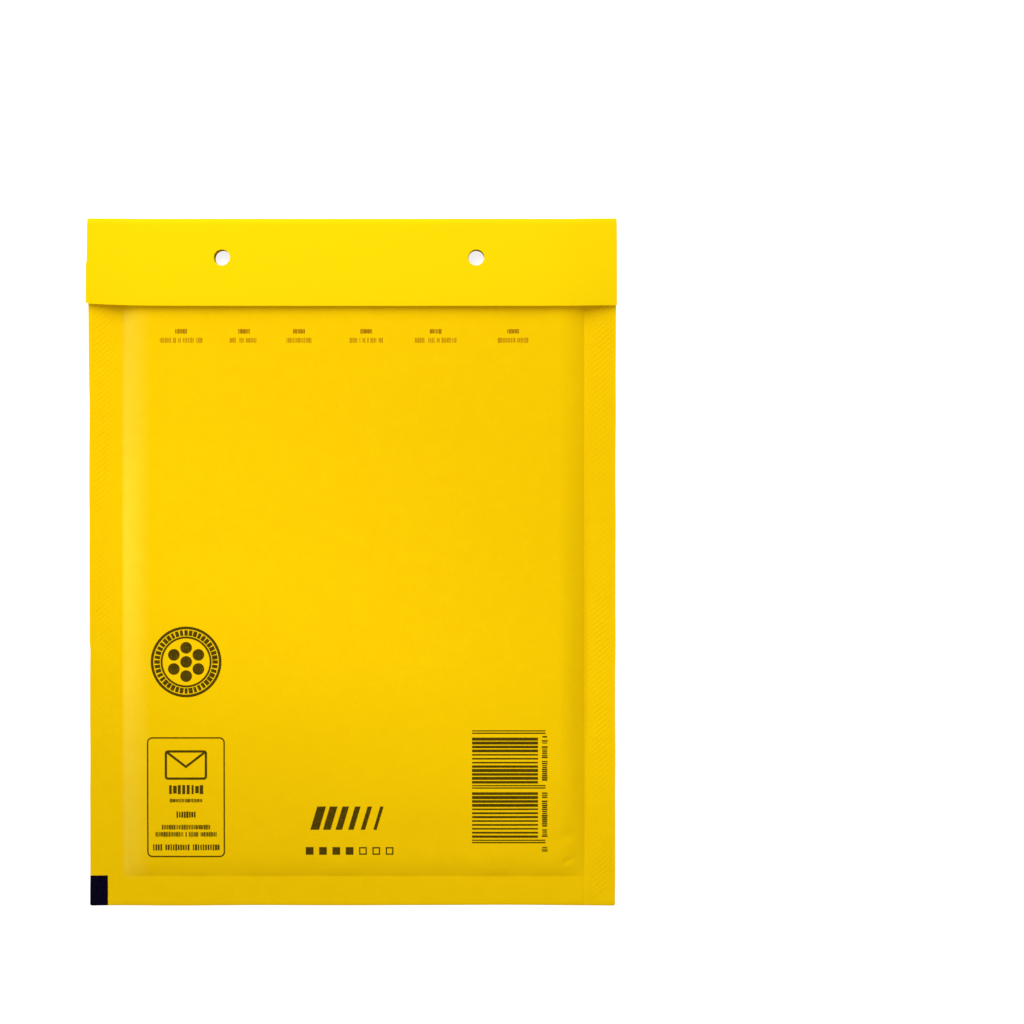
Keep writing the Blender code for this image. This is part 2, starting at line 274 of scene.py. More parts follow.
def shell_points():
    """Rows of points from the front's mouth, round the bottom, up the back and over to the flap's edge."""
    left_band = (LEFT, 0.0004, LEFT + 0.0012, 0.0013, SEAM_LEFT - 0.0009, 0.0003, SEAM_LEFT + 0.0012)
    shoulders = (0.0008, SEAM_LEFT + 0.0110, 0.0022, SEAM_RIGHT - 0.0120, 0.0005, SEAM_RIGHT - 0.0012)
    right_band = (0.0003, SEAM_RIGHT + 0.0009, 0.0013, RIGHT - 0.0012, 0.0003, RIGHT)
    x = graded(*left_band, *shoulders, *right_band)
    front_low = (FOLD_CENTRE, 0.0014, BAND_TOP - 0.0010, 0.0004, BAND_TOP + 0.0015, 0.0005)
    front = graded(*front_low, BAND_TOP + 0.0200, 0.0021, FLAP_EDGE, 0.0030, MOUTH)
    back = graded(FOLD_CENTRE, 0.0028, BAND_TOP, 0.0012, BAND_TOP + 0.0105, 0.0040, FLAP_FOLD_CENTRE)
    trim = bottom_trim(x)
    rows = []
    for y in reversed(front):
        moved = y + trim * fading(y - FOLD_CENTRE, TRIM_REACH)
        rows.append(line(side_trim(x, moved), moved, front_level(x, moved)))
    start = FOLD_CENTRE + trim
    for angle in np.linspace(math.pi / 2, -math.pi / 2, 7)[1:-1]:
        level = (FRONT_SEAM + BACK_SEAM) / 2 + FOLD_RADIUS * math.sin(angle) + band_wave(x, start)
        level = level + (seam_groove(x) + dents(x, start)) * (1 + math.sin(angle)) / 2
        lean = FOLD_LEAN * math.cos(angle) * (1 - math.sin(angle))
        rows.append(line(side_trim(x, start), start - FOLD_RADIUS * math.cos(angle) - lean, level))
    for y in back:
        moved = y + trim * fading(y - FOLD_CENTRE, TRIM_REACH)
        rows.append(line(side_trim(x, moved), moved, back_level(x, moved)))
    middle = FLAP_FOLD_CENTRE + 0 * x
    low = back_level(x, middle)
    high = flap_level(x, middle)
    narrow = side_trim(x, middle)
    wide = flap_place(x, middle)
    for angle in np.linspace(-math.pi / 2, math.pi / 2, 15)[1:-1]:
        turn = (1 + math.sin(angle)) / 2
        y = middle + FLAP_FOLD_RADIUS * math.cos(angle)
        rows.append(line(narrow + (wide - narrow) * turn, y, low + (high - low) * turn))
    edge = flap_edge(x)
    step_share = (FLAP_FOLD_CENTRE - FLAP_STEP_LEVEL) / (FLAP_FOLD_CENTRE - FLAP_EDGE)
    for share in graded(0, 0.04, step_share - 0.02, 0.006, step_share + 0.002, 0.04, 0.9, 0.02, 1):
        y = FLAP_FOLD_CENTRE + (edge - FLAP_FOLD_CENTRE) * share
        rows.append(line(flap_place(x, y), y, flap_level(x, y)))
    return np.array(rows)


def made(name, bm):
    mesh = bpy.data.meshes.new(name)
    bm.to_mesh(mesh)
    bm.free()
    return mesh


def link(piece):
    bpy.context.scene.collection.objects.link(piece)
    return piece


def bent_sheet(name, points, thickness):
    """A sheet through rows of points, given its thickness half to each side of them."""
    rows, columns = points.shape[:2]
    index = np.arange(rows * columns).reshape(rows, columns)
    corners = [index[:-1, :-1], index[:-1, 1:], index[1:, 1:], index[1:, :-1]]
    mesh = bpy.data.meshes.new(name)
    mesh.from_pydata(points.reshape(-1, 3).tolist(), [], np.stack(corners, axis=-1).reshape(-1, 4).tolist())
    piece = link(bpy.data.objects.new(name, mesh))
    wall = piece.modifiers.new("thickness", "SOLIDIFY")
    wall.thickness = thickness
    wall.offset = 0
    wall.use_even_offset = True
    return piece


def plain(piece, material):
    """What a piece's modifiers make of it becomes its own mesh, smooth but for its sharp edges."""
    bpy.context.view_layer.update()
    shaped = bpy.data.meshes.new_from_object(piece.evaluated_get(bpy.context.evaluated_depsgraph_get()))
    piece.modifiers.clear()
    piece.data = shaped
    shaped.shade_smooth()
    shaped.set_sharp_from_angle(angle=SHARP)
    shaped.materials.clear()
    shaped.materials.append(material)


def punched(piece, material, spare=0):
    """The two holes go through everything. They are cut wider by this where the layer springs back."""
    bm = bmesh.new()
    radius = HOLE_DIAMETER / 2 + spare
    for x, y in HOLE_CENTRES:
        high = 0.02
        for low, across, up in HOLE_SLIDES:
            size = {"radius1": radius, "radius2": radius, "depth": high - low}
            pin = bmesh.ops.create_cone(bm, cap_ends=True, segments=HOLE_SIDES, **size)
            bmesh.ops.translate(bm, verts=pin["verts"], vec=(x + across, y + up, (low + high) / 2))
            high = low - 0.00001
    punches = link(bpy.data.objects.new("punches", made("punches", bm)))
    cut = piece.modifiers.new("punched", "BOOLEAN")
    cut.object = punches
    cut.operation = "DIFFERENCE"
    cut.solver = "EXACT"
    plain(piece, material)
    bpy.data.objects.remove(punches)


class Nodes:
    """A node tree with a short way to add a node, set its inputs and link them."""

    def __init__(self, tree):
        self.tree = tree

    def put(self, value, socket):
        if isinstance(value, bpy.types.NodeSocket):
            self.tree.links.new(value, socket)
        else:
            socket.default_value = value

    def add(self, kind, inputs=(), **settings):
        node = self.tree.nodes.new(kind)
        for key, value in settings.items():
            setattr(node, key, value)
        for key, value in dict(inputs).items():
            self.put(value, node.inputs[key])
        return node

    def out(self, kind, inputs=(), **settings):
        """The first output of a new node."""
        return self.add(kind, inputs, **settings).outputs[0]

    def maths(self, operation, *values):
        return self.out("ShaderNodeMath", enumerate(values), operation=operation)

    def times(self, first, *others):
        """The product of two or more values."""
        for other in others:
            first = self.maths("MULTIPLY", first, other)
        return first

    def parts(self, vector):
        return self.add("ShaderNodeSeparateXYZ", {0: vector}).outputs

    def noise(self, place, scale, detail=3.0, roughness=0.5):
        sizes = {"Vector": place, "Scale": scale, "Detail": detail, "Roughness": roughness}
        return self.add("ShaderNodeTexNoise", sizes).outputs["Fac"]

    def range(self, value, low, high, to_low=0.0, to_high=1.0):
        sizes = {"Value": value, 1: low, 2: high, 3: to_low, 4: to_high}
        return self.out("ShaderNodeMapRange", sizes)

    def mix(self, share, first, second):
        """From the first colour to the second."""
        return self.add("ShaderNodeMix", {0: share, 6: first, 7: second}, data_type="RGBA").outputs[2]


def finish(name, **constants):
    """A new material: its nodes, its shader and the place on the piece that its patterns are drawn from."""
    material = bpy.data.materials.new(name)
    material.use_nodes = True
    nodes = Nodes(material.node_tree)
    shader = material.node_tree.nodes["Principled BSDF"]
    for socket, value in constants.items():
        shader.inputs[socket.replace("_", " ")].default_value = value
    place = nodes.add("ShaderNodeTexCoord").outputs["Object"]
    return material, nodes, shader, place


def paint(nodes, shader, colour, roughness):
    nodes.put(colour, shader.inputs["Base Color"])
    nodes.put(roughness, shader.inputs["Roughness"])


def stretched(nodes, place, size):
    return nodes.out("ShaderNodeMapping", {"Vector": place, "Scale": size})


def roughened(nodes, shader, height, distance, strength=1.0):
    sizes = {"Height": height, "Distance": distance, "Strength": strength}
    nodes.put(nodes.out("ShaderNodeBump", sizes), shader.inputs["Normal"])


DEEP_YELLOW = (0.972, 0.606, 0.0005, 1)
PALE_YELLOW = (0.994, 0.638, 0.0007, 1)
FIBRE_YELLOW = (0.94, 0.552, 0.0005, 1)
FLECK_YELLOW = (0.80, 0.420, 0.003, 1)
FOLD_HIGHLIGHT_YELLOW = (0.985, 0.735, 0.060, 1)
FLAP_PAINTED_LIGHT_YELLOW = (0.990, 0.705, 0.0016, 1)
SHOULDER_HIGHLIGHT_YELLOW = (0.985, 0.690, 0.050, 1)
MARK_BLACK = (0.0012, 0.0006, 0.0070, 1)
MARK_GREY = (0.0035, 0.0020, 0.0125, 1)
MARK_RIGHT = -0.09515
MARK_TOP = -0.12264
BACK_BELOW = 0.00222


def make_kraft():
    """Kraft paper: cloudy and fibrous with one printed mark, painted lighter on the flap, with painted
    highlights on the top fold and left shoulder.
    """
    material, nodes, shader, place = finish("yellow_kraft", Specular_IOR_Level=0.015)
    x, y, z = nodes.parts(place)
    clouds = nodes.range(nodes.noise(place, 170.0, 5.0, 0.62), 0.3, 0.7)
    yellow = nodes.mix(clouds, DEEP_YELLOW, PALE_YELLOW)
    fibres = nodes.noise(stretched(nodes, place, (2600.0, 420.0, 2600.0)), 1.0, 3.0, 0.6)
    streak = nodes.range(fibres, 0.3, 0.7)
    yellow = nodes.mix(nodes.times(streak, 0.30), yellow, FIBRE_YELLOW)
    flecks = nodes.noise(stretched(nodes, place, (1500.0, 520.0, 1500.0)), 1.0, 1.0, 0.5)
    speck = nodes.range(flecks, 0.68, 0.76)
    yellow = nodes.mix(nodes.times(speck, 0.18), yellow, FLECK_YELLOW)
    # Painted highlight: a paler yellow along the top fold, broken into patches, stands in for the light that
    # the rounded fold catches.
    at_fold = nodes.range(y, 0.1310, 0.1339)
    highlight_patches = nodes.noise(stretched(nodes, place, (300.0, 900.0, 900.0)), 1.0, 4.0, 0.6)
    painted_fold_highlight = nodes.times(at_fold, nodes.range(highlight_patches, 0.42, 0.7), 0.30)
    yellow = nodes.mix(painted_fold_highlight, yellow, FOLD_HIGHLIGHT_YELLOW)
    # Painted light: the flap is painted paler than the body, standing in for the stronger light and sheen on
    # it.
    on_flap = nodes.times(nodes.range(z, 0.0036, 0.0046), nodes.range(y, 0.0990, 0.0994))
    yellow = nodes.mix(nodes.times(on_flap, 0.70), yellow, FLAP_PAINTED_LIGHT_YELLOW)
    on_front = nodes.maths("GREATER_THAN", z, BACK_BELOW)
    # Painted highlight: a pale streak down the front's left shoulder, from below the flap to the bottom
    # band, stands in for the sheen the lamps put there.
    up_shoulder = nodes.range(x, -0.0899, -0.0881)
    past_shoulder = nodes.range(x, -0.0881, -0.0780, 1.0, 0.0)
    below_flap = nodes.times(nodes.range(y, 0.0994, 0.0960), nodes.range(y, -0.1250, -0.1190))
    cloudy = nodes.range(clouds, 0, 1, 0.40, 0.62)
    painted_shoulder_highlight = nodes.times(up_shoulder, past_shoulder, below_flap, on_front, cloudy)
    yellow = nodes.mix(painted_shoulder_highlight, yellow, SHOULDER_HIGHLIGHT_YELLOW)
    uneven = nodes.range(nodes.noise(place, 1800.0, 2.0), 0.3, 0.7, -0.00005, 0.00005)
    in_width = nodes.maths("LESS_THAN", nodes.maths("ADD", x, uneven), MARK_RIGHT)
    in_height = nodes.maths("LESS_THAN", nodes.maths("ADD", y, uneven), MARK_TOP)
    mark = nodes.times(in_width, in_height, on_front)
    ink = nodes.mix(nodes.range(nodes.noise(place, 900.0), 0.35, 0.7), MARK_BLACK, MARK_GREY)
    rough = nodes.maths("SUBTRACT", nodes.range(clouds, 0, 1, 0.60, 0.72), nodes.times(mark, 0.18))
    paint(nodes, shader, nodes.mix(mark, yellow, ink), rough)
    height = nodes.maths("ADD", nodes.times(fibres, 0.6), nodes.noise(place, 1100.0, 4.0, 0.6))
    roughened(nodes, shader, height, 0.00003, 0.5)
    return material


kraft = make_kraft()
shell = bent_sheet("paper_shell_dressed", shell_points(), PAPER)
punched(shell, kraft)
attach(shell, "root")
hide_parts("paper_shell")

# Seam film. The lining's edges melt between the two layers of paper when the sides are sealed, and bond
# them. A thin strip of melted film is left in each seam, just inside the cut edge.
FILM_INSET = 0.0008
MELTED_FILM = 0.0003


def seam_film_points(outer, inner):
    x = graded(outer, 0.0026, inner)
    rows = []
    for y in graded(FOLD_CENTRE + FILM_INSET, 0.004, MOUTH - FILM_INSET):
        rows.append(line(x, y, (FRONT_SEAM + BACK_SEAM) / 2 + band_wave(x, y)))
    return np.array(rows)


def make_clear_film():
    """Polythene film: clear, glossy and finely wrinkled."""
    material, nodes, shader, place = finish("clear_bubble_film", IOR=1.5, Alpha=0.62)
    cloudy = nodes.range(nodes.noise(place, 400.0, 3.0), 0.35, 0.7)
    colour = nodes.mix(cloudy, (0.82, 0.84, 0.85, 1), (0.90, 0.92, 0.93, 1))
    paint(nodes, shader, colour, nodes.range(cloudy, 0, 1, 0.16, 0.30))
    roughened(nodes, shader, nodes.noise(place, 700.0, 4.0, 0.6), 0.00008, 0.6)
    return material


clear_film = make_clear_film()
seams = (("left", LEFT + FILM_INSET, SEAM_LEFT), ("right", SEAM_RIGHT, RIGHT - FILM_INSET))
for side, outer, inner in seams:
    melted = bent_sheet(f"seam_film_{side}", seam_film_points(outer, inner), MELTED_FILM)
    plain(melted, clear_film)
    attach(melted, "root")

# Seal ribs. The hot sealing bars are milled with fine slanting grooves, which press a row of low ribs into
# the paper of both side bands, front and back. The ribs lie half sunk in the bands here.
RIB_PITCH = 0.00205
RIB_SLANT = math.radians(40)
RIB_WIDTH = 0.00085
RIB_HEIGHT = 0.00012
RIB_INSET = 0.0008
RIB_WEAR = 0.35


def start_tree(name, **sizes):
    """A Geometry Nodes tree with named inputs, listed by their kind, and one for its material."""
    tree = bpy.data.node_groups.new(name, "GeometryNodeTree")
    tree.interface.new_socket("Geometry", in_out="OUTPUT", socket_type="NodeSocketGeometry")
    for kind, names in {**sizes, "Material": ["Material"]}.items():
        for size in names:
            tree.interface.new_socket(size, in_out="INPUT", socket_type="NodeSocket" + kind)
    nodes = Nodes(tree)
    return nodes, nodes.add("NodeGroupInput").outputs


def end_tree(nodes, geometry, given):
    real = nodes.out("GeometryNodeRealizeInstances", {0: geometry})
    painted = nodes.out("GeometryNodeSetMaterial", {"Geometry": real, "Material": given["Material"]})
    nodes.put(painted, nodes.add("NodeGroupOutput").inputs[0])


def vector(nodes, x=0.0, y=0.0, z=0.0):
    return nodes.out("ShaderNodeCombineXYZ", {"X": x, "Y": y, "Z": z})


def point_row(nodes, given, step):
    row = {"Count": given["Count"], "Start Location": given["Start"], "Offset": step}
    return nodes.out("GeometryNodeMeshLine", row)


def copies(nodes, points, shape, **turned_or_sized):
    """A copy of the shape on each of the points."""
    inputs = {"Points": points, "Instance": shape, **turned_or_sized}
    return nodes.out("GeometryNodeInstanceOnPoints", inputs)


def shifted(nodes, geometry, **change):
    return nodes.out("GeometryNodeTransform", {"Geometry": geometry, **change})


def grow(nodes, sizes):
    """The plain mesh that a tree makes with these sizes."""
    holder = link(bpy.data.objects.new("growing", bpy.data.meshes.new("growing")))
    modifier = holder.modifiers.new("grow", "NODES")
    modifier.node_group = nodes.tree
    for socket in nodes.tree.interface.items_tree:
        if socket.in_out == "INPUT":
            modifier[socket.identifier] = sizes[socket.name]
    bpy.context.view_layer.update()
    mesh = bpy.data.meshes.new_from_object(holder.evaluated_get(bpy.context.evaluated_depsgraph_get()))
    bpy.data.objects.remove(holder)
    return mesh


def places(mesh):
    """A mesh's points as rows of x, y, z."""
    flat = np.empty(len(mesh.vertices) * 3)
    mesh.vertices.foreach_get("co", flat)
    return flat.reshape(-1, 3)


def put_places(mesh, points):
    mesh.vertices.foreach_set("co", points.ravel())
    mesh.update()


def joined(name, meshes, material):
    """One piece made of several meshes, all of one material."""
    bm = bmesh.new()
    for mesh in meshes:
        bm.from_mesh(mesh)
    for face in bm.faces:
        face.material_index = 0
    whole = made(name, bm)
    whole.materials.clear()
    whole.materials.append(material)
    return link(bpy.data.objects.new(name, whole))


def rib_tree():
    """A column of low slanting ribs, each a long flat lens half sunk in the paper."""
    nodes, given = start_tree("seal_ribs", Int=["Count"], Vector=["Start", "Rib"], Float=["Pitch", "Slant"])
    column = point_row(nodes, given, vector(nodes, y=given["Pitch"]))
    ball = nodes.out("GeometryNodeMeshUVSphere", {"Segments": 6, "Rings": 8, "Radius": 0.5})
    lain = shifted(nodes, ball, Rotation=(0, math.pi / 2, 0))
    lens = shifted(nodes, lain, Scale=given["Rib"])
    ribs = copies(nodes, column, lens, Rotation=vector(nodes, z=given["Slant"]))
    end_tree(nodes, ribs, given)
    return nodes


ribs_of_bar = rib_tree()
rib_columns = []
for outer, inner in ((LEFT, SEAM_LEFT), (SEAM_RIGHT, RIGHT)):
    width = inner - outer - 2 * RIB_INSET
    reach = width * math.tan(RIB_SLANT) / 2
    low = BOTTOM + RIB_INSET + reach
    for level, face in ((FRONT_SEAM, 1), (BACK_SEAM, -1)):
        sizes = {
            "Count": int((MOUTH - reach - low) / RIB_PITCH),
            "Start": ((outer + inner) / 2, low, 0),
            "Pitch": RIB_PITCH,
            "Rib": (width / math.cos(RIB_SLANT), RIB_WIDTH, RIB_HEIGHT),
            "Slant": RIB_SLANT,
            "Material": kraft,
        }
        mesh = grow(ribs_of_bar, sizes)
        points = places(mesh)
        depth = 0.8 + RIB_WEAR * ripple(0 * points[:, 0], points[:, 1], 0.03, 0.10, 61)
        points[:, 2] = points[:, 2] * np.clip(depth, 0.3, 1.5) + level + face * PAPER / 2
        points[:, 2] += band_wave(points[:, 0], points[:, 1])
        put_places(mesh, points)
        rib_columns.append(mesh)
ribs = joined("seal_ribs", rib_columns, kraft)
ribs.data.shade_flat()
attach(ribs, "root")

# Bubble lining. One length of bubble film is folded in a U with the paper, smooth side in, so its air cells
# press against the paper from inside. It ends just short of the mouth and the seams, where the room closes.
FILM = 0.0002
BACK_FILM = 0.0026
FRONT_FILM = 0.0033
LINING_INSET = 0.0042
LINING_FOLD_RADIUS = (FRONT_FILM - BACK_FILM) / 2
LINING_FOLD_CENTRE = BAND_TOP + LINING_INSET + LINING_FOLD_RADIUS
LINING_MOUTH = MOUTH - 0.0003
CELL_PITCH = 0.0115
CELL_RADIUS = 0.0050
CELL_HEIGHT = 0.0020
CELL_CLEARANCE = 0.00012
CELL_START = 0.0054
FLATTEST_CELL = 0.0006
ROOM_AT_HOLE = 0.0008
PROBE_SHARE = 0.72
FILM_SPRING_BACK = 0.0010


def lining_points():
    """Rows from the front's mouth, round the fold and up the back."""
    left = SEAM_LEFT + LINING_INSET
    right = SEAM_RIGHT - LINING_INSET
    x = graded(left, 0.006, right)
    lengths = graded(LINING_FOLD_CENTRE, 0.006, LINING_MOUTH)
    rows = [line(x, y, FRONT_FILM) for y in reversed(lengths)]
    for angle in np.linspace(math.pi / 2, -math.pi / 2, 9)[1:-1]:
        y = LINING_FOLD_CENTRE - LINING_FOLD_RADIUS * math.cos(angle)
        level = (FRONT_FILM + BACK_FILM) / 2 + LINING_FOLD_RADIUS * math.sin(angle)
        rows.append(line(x, y, level))
    return np.array(rows + [line(x, y, BACK_FILM) for y in lengths])


def cell_tree():
    """Domed air cells in staggered rows, each as low as the paper over it presses it, and none at a hole."""
    counts = ["Cells Across", "Rows"]
    spots = ["Start", "Left Hole", "Right Hole"]
    lengths = ["Pitch", "Right Limit", "Radius", "Height", "Clearance", "Face", "Hole Radius"]
    nodes, given = start_tree("air_cells", Int=counts, Vector=spots, Float=lengths, Object=["Paper"])
    row_pitch = nodes.times(given["Pitch"], math.sqrt(3) / 2)
    across = nodes.times(nodes.maths("SUBTRACT", given["Cells Across"], 1.0), given["Pitch"])
    up = nodes.times(nodes.maths("SUBTRACT", given["Rows"], 1.0), row_pitch)
    counts = {"Vertices X": given["Cells Across"], "Vertices Y": given["Rows"]}
    lattice = nodes.add("GeometryNodeMeshGrid", {"Size X": across, "Size Y": up, **counts}).outputs["Mesh"]
    x, y, _ = nodes.parts(nodes.out("GeometryNodeInputPosition"))
    from_bottom = nodes.maths("ADD", y, nodes.times(up, 0.5))
    row = nodes.maths("ROUND", nodes.maths("DIVIDE", from_bottom, row_pitch))
    shift = nodes.times(nodes.maths("MODULO", row, 2.0), nodes.times(given["Pitch"], 0.5))
    from_left = nodes.maths("ADD", nodes.maths("ADD", x, nodes.times(across, 0.5)), shift)
    local = vector(nodes, from_left, from_bottom)
    place = nodes.out("ShaderNodeVectorMath", {0: local, 1: given["Start"]}, operation="ADD")
    staggered = nodes.out("GeometryNodeSetPosition", {"Geometry": lattice, "Position": place})

    position = nodes.out("GeometryNodeInputPosition")
    x, y, _ = nodes.parts(position)
    unwanted = nodes.maths("GREATER_THAN", x, given["Right Limit"])
    flat = vector(nodes, x, y)
    near_hole = nodes.maths("ADD", nodes.maths("ADD", given["Radius"], given["Hole Radius"]), ROOM_AT_HOLE)
    for hole in ("Left Hole", "Right Hole"):
        apart = nodes.add("ShaderNodeVectorMath", {0: flat, 1: given[hole]}, operation="DISTANCE")
        cut_by = nodes.maths("LESS_THAN", apart.outputs["Value"], near_hole)
        unwanted = nodes.maths("MAXIMUM", unwanted, cut_by)

    paper = nodes.add("GeometryNodeObjectInfo", {"Object": given["Paper"]}).outputs["Geometry"]
    ray = {"Target Geometry": paper, "Ray Direction": vector(nodes, z=given["Face"]), "Ray Length": 0.02}
    room = given["Height"]
    for angle in range(0, 360, 60):
        rim_x = nodes.times(given["Radius"], PROBE_SHARE * math.cos(math.radians(angle)))
        rim_y = nodes.times(given["Radius"], PROBE_SHARE * math.sin(math.radians(angle)))
        rim = {0: position, 1: vector(nodes, rim_x, rim_y)}
        probe = nodes.out("ShaderNodeVectorMath", rim, operation="ADD")
        reach = nodes.add("GeometryNodeRaycast", {**ray, "Source Position": probe}).outputs["Hit Distance"]
        room = nodes.maths("MINIMUM", room, nodes.maths("SUBTRACT", reach, given["Clearance"]))
    unwanted = nodes.maths("MAXIMUM", unwanted, nodes.maths("LESS_THAN", room, FLATTEST_CELL))
    kept = nodes.out("GeometryNodeDeleteGeometry", {"Geometry": staggered, "Selection": unwanted})

    steps = {"Vertices": 12, "Side Segments": 3, "Fill Segments": 1, "Radius": given["Radius"], "Depth": 1.0}
    post = nodes.add("GeometryNodeMeshCylinder", steps, fill_type="TRIANGLE_FAN").outputs["Mesh"]
    post = shifted(nodes, post, Translation=(0, 0, 0.5))
    x, y, z = nodes.parts(nodes.out("GeometryNodeInputPosition"))
    shoulder = nodes.times(nodes.maths("POWER", z, 2.5), 0.55)
    narrowing = nodes.maths("SQRT", nodes.maths("SUBTRACT", 1.0, shoulder))
    domed = vector(nodes, nodes.times(x, narrowing), nodes.times(y, narrowing), z)
    dome = nodes.out("GeometryNodeSetPosition", {"Geometry": post, "Position": domed})
    upside = nodes.times(nodes.maths("LESS_THAN", given["Face"], 0.0), math.pi)
    pressed = vector(nodes, 1.0, 1.0, room)
    cells = copies(nodes, kept, dome, Rotation=vector(nodes, upside), Scale=pressed)
    end_tree(nodes, cells, given)
    return nodes


film = bent_sheet("film", lining_points(), FILM)
punched(film, clear_film, FILM_SPRING_BACK)
air_cells = cell_tree()
layers = [film.data]
for film_level, face in ((FRONT_FILM, 1.0), (BACK_FILM, -1.0)):
    sizes = {
        "Cells Across": 15,
        "Rows": 25,
        "Pitch": CELL_PITCH,
        "Start": (SEAM_LEFT + LINING_INSET + CELL_START, LINING_FOLD_CENTRE + CELL_START, film_level),
        "Right Limit": SEAM_RIGHT - LINING_INSET - CELL_RADIUS,
        "Radius": CELL_RADIUS,
        "Height": CELL_HEIGHT,
        "Clearance": CELL_CLEARANCE,
        "Face": face,
        "Paper": shell,
        "Left Hole": (*HOLE_CENTRES[0], 0),
        "Right Hole": (*HOLE_CENTRES[1], 0),
        "Hole Radius": HOLE_DIAMETER / 2,
        "Material": clear_film,
    }
    layers.append(grow(air_cells, sizes))
lining = joined("bubble_lining_dressed", layers, clear_film)
bpy.data.objects.remove(film)
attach(lining, "root")
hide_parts("bubble_lining")

# Adhesive strip. A band of clear hot melt is laid across the inside of the flap, short of both ends, and
# stays tacky under its cover strip. Its surface has the soft ridges that the nozzles leave.
STRIP_TO_EDGE = 0.0014
LINER_WIDTH = 0.0132
LINER_THICKNESS = 0.00012
LINER_DROP = 0.00096
LINER_END_INSET = 0.0015
ADHESIVE_WIDTH = 0.0105
ADHESIVE_THICKNESS = 0.0002
ADHESIVE_DROP = 0.0005
ADHESIVE_END_INSET = 0.0060


def strip_points(low, width, end_inset, drop):
    """A strip under the flap that follows it at this distance."""
    left = FLAP_LEFT + end_inset
    right = FLAP_RIGHT - end_inset
    x = graded(left, 0.0026, right)
    return np.array([line(x, y, flap_level(x, y) - drop) for y in graded(low, 0.0013, low + width)])


def make_hot_melt():
    material, nodes, shader, place = finish("clear_hot_melt", IOR=1.48, Alpha=0.85)
    ridges = nodes.noise(stretched(nodes, place, (60.0, 1400.0, 1400.0)), 1.0, 2.0, 0.5)
    colour = nodes.mix(nodes.range(ridges, 0.3, 0.7), (0.70, 0.60, 0.36, 1), (0.80, 0.72, 0.48, 1))
    paint(nodes, shader, colour, nodes.range(nodes.noise(place, 500.0), 0.3, 0.7, 0.22, 0.38))
    roughened(nodes, shader, ridges, 0.0001)
    return material


low = FLAP_EDGE + STRIP_TO_EDGE
low_adhesive = low + (LINER_WIDTH - ADHESIVE_WIDTH) / 2
points = strip_points(low_adhesive, ADHESIVE_WIDTH, ADHESIVE_END_INSET, ADHESIVE_DROP)
adhesive = bent_sheet("adhesive_strip_dressed", points, ADHESIVE_THICKNESS)
plain(adhesive, make_hot_melt())
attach(adhesive, "root")
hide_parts("adhesive_strip")

# Release liner. A strip of white silicone paper covers the adhesive until the envelope is closed for good.
# It is wider than the adhesive and reaches nearly to the flap's ends, where it is picked up and peeled off.


def make_silicone_paper():
    material, nodes, shader, place = finish("silicone_paper", Coat_Weight=0.25, Coat_Roughness=0.3)
    cloudy = nodes.range(nodes.noise(place, 260.0, 5.0, 0.6), 0.3, 0.7)
    colour = nodes.mix(cloudy, (0.84, 0.85, 0.84, 1), (0.89, 0.90, 0.885, 1))
    paint(nodes, shader, colour, nodes.range(cloudy, 0, 1, 0.34, 0.46))
    roughened(nodes, shader, nodes.noise(place, 1300.0, 3.0), 0.00002, 0.5)
    return material


points = strip_points(low, LINER_WIDTH, LINER_END_INSET, LINER_DROP)
liner = bent_sheet("release_liner_dressed", points, LINER_THICKNESS)
plain(liner, make_silicone_paper())
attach(liner, "root")
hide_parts("release_liner")

# Small print. Six short two-row notices run across the front below the flap, printed in brown ink before the
# sheet is folded. They are rows of plain strokes of uneven width and height, and can't be read.
INK_LIFT = 0.000012
INK_THICKNESS = 0.00004
HEAD_LEVEL = 0.08975
HEAD_WIDTH = 0.0047
HEAD_HEIGHT = 0.0019
HEAD_STROKES = 8
LINE_LEVEL = 0.08625
LINE_HEIGHT = 0.0021
# Each notice's middle, and the width and number of strokes of its lower row
NOTICES = [
    (-0.06620, 0.0168, 26),
    (-0.04169, 0.0112, 18),
    (-0.02025, 0.0100, 16),
    (0.00600, 0.0131, 21),
    (0.03300, 0.0164, 25),
    (0.06315, 0.0120, 19),
]


def chance(nodes, low, high, seed):
    """A number between these two, drawn anew for each point."""
    inputs = {2: low, 3: high, "Seed": seed}
    return nodes.add("FunctionNodeRandomValue", inputs, data_type="FLOAT").outputs[1]


def unit_square(nodes, columns, rows):
    sizes = {"Size X": 1.0, "Size Y": 1.0, "Vertices X": columns, "Vertices Y": rows}
    return nodes.add("GeometryNodeMeshGrid", sizes).outputs["Mesh"]


def stroke_tree():
    """A row of upright strokes of uneven width and height, with gaps left between groups of them."""
    shares = ["Pitch", "Height", "Gaps"]
    nodes, given = start_tree("stroke_row", Int=["Count", "Seed"], Vector=["Start"], Float=shares)
    row = point_row(nodes, given, vector(nodes, given["Pitch"]))

    def dice(low, high, extra):
        return chance(nodes, low, high, nodes.maths("ADD", given["Seed"], extra))

    gap = nodes.maths("LESS_THAN", dice(0.0, 1.0, 100.0), given["Gaps"])
    kept = nodes.out("GeometryNodeDeleteGeometry", {"Geometry": row, "Selection": gap})
    width = nodes.times(given["Pitch"], dice(0.45, 0.85, 200.0))
    height = nodes.times(given["Height"], dice(0.78, 1.0, 300.0))
    strokes = copies(nodes, kept, unit_square(nodes, 2, 3), Scale=vector(nodes, width, height, 1.0))
    end_tree(nodes, strokes, given)
    return nodes


